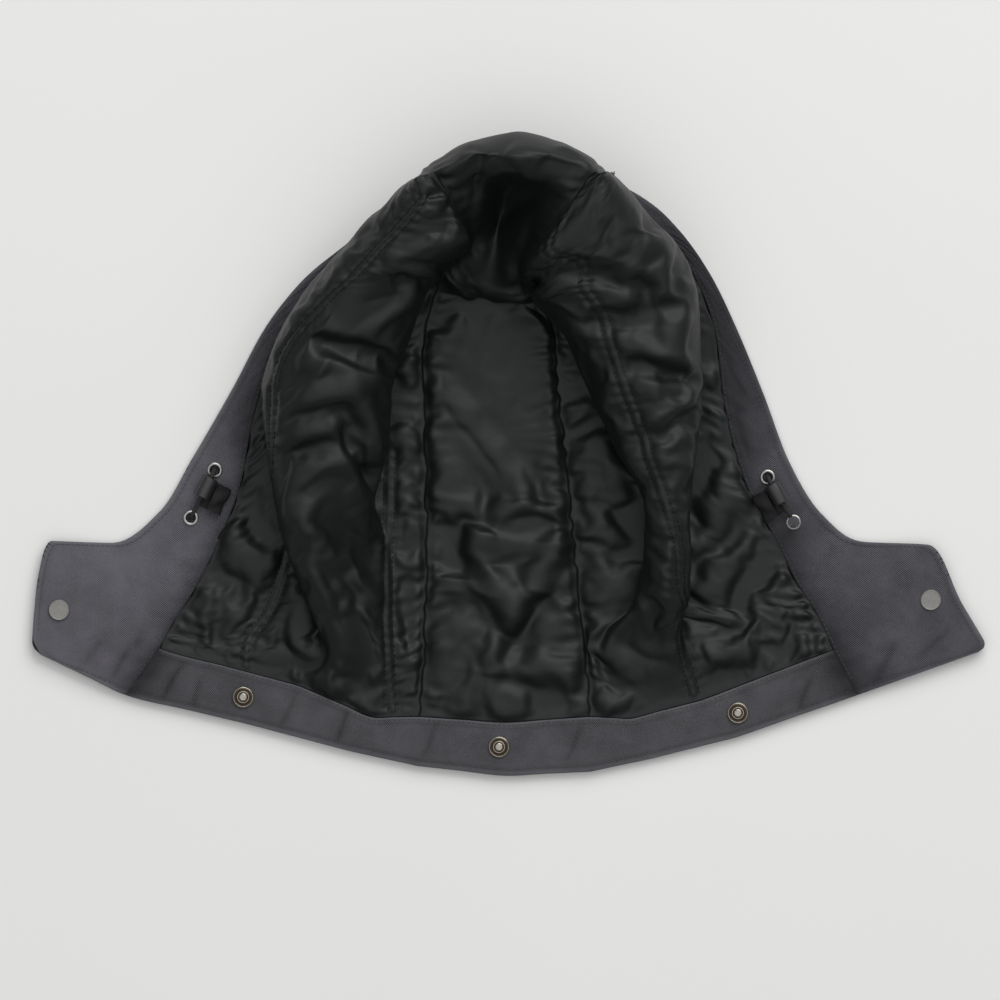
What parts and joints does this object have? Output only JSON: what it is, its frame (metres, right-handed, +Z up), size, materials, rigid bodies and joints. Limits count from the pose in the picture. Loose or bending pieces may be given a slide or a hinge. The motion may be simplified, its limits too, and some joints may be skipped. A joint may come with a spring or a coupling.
{
  "type": "detachable hood",
  "caption": "Detachable jacket hood lying open on its back: canvas shell and throat flaps, quilted padded lining, neck band with snap fasteners, draw cords with cord locks.",
  "frame": {"origin": "centre of the bounding box, on the surface that the hood lies on", "axes": "+X from the left throat flap to the right one as seen from above, +Y from the neck band to the crown, +Z up, out of the open inside"},
  "size_m": [0.5747, 0.3864, 0.0945],
  "materials": {
    "canvas": "dark grey cotton twill canvas, matte",
    "facing": "dark grey cotton twill canvas, matte, topstitched",
    "lining": "black quilted nylon taffeta over wadding, soft sheen",
    "snap": "antique silver with a brass tinge",
    "cap": "matte grey metal",
    "eyelet": "antique silver",
    "cord": "braided elastic, dark grey",
    "lock": "satin dark grey",
    "tape": "black woven tape"
  },
  "bodies": {
    "root": {"shell_left": "canvas", "shell_centre": "canvas", "shell_right": "canvas", "facing_left": "facing", "facing_right": "facing", "facing_crown": "facing", "neck_band": "facing", "lining_left": "lining", "lining_centre": "lining", "lining_right": "lining", "snap_stud_left": "snap", "snap_stud_centre": "snap", "snap_stud_right": "snap", "flap_snap_left": "cap", "flap_snap_right": "cap", "eyelet_left_upper": "eyelet", "eyelet_left_lower": "eyelet", "eyelet_right_upper": "eyelet", "eyelet_right_lower": "eyelet", "draw_cord_left": "cord", "draw_cord_right": "cord", "cord_lock_left": "lock", "cord_lock_right": "lock", "lock_tab_left": "tape", "lock_tab_right": "tape"}
  },
  "joints": []
}
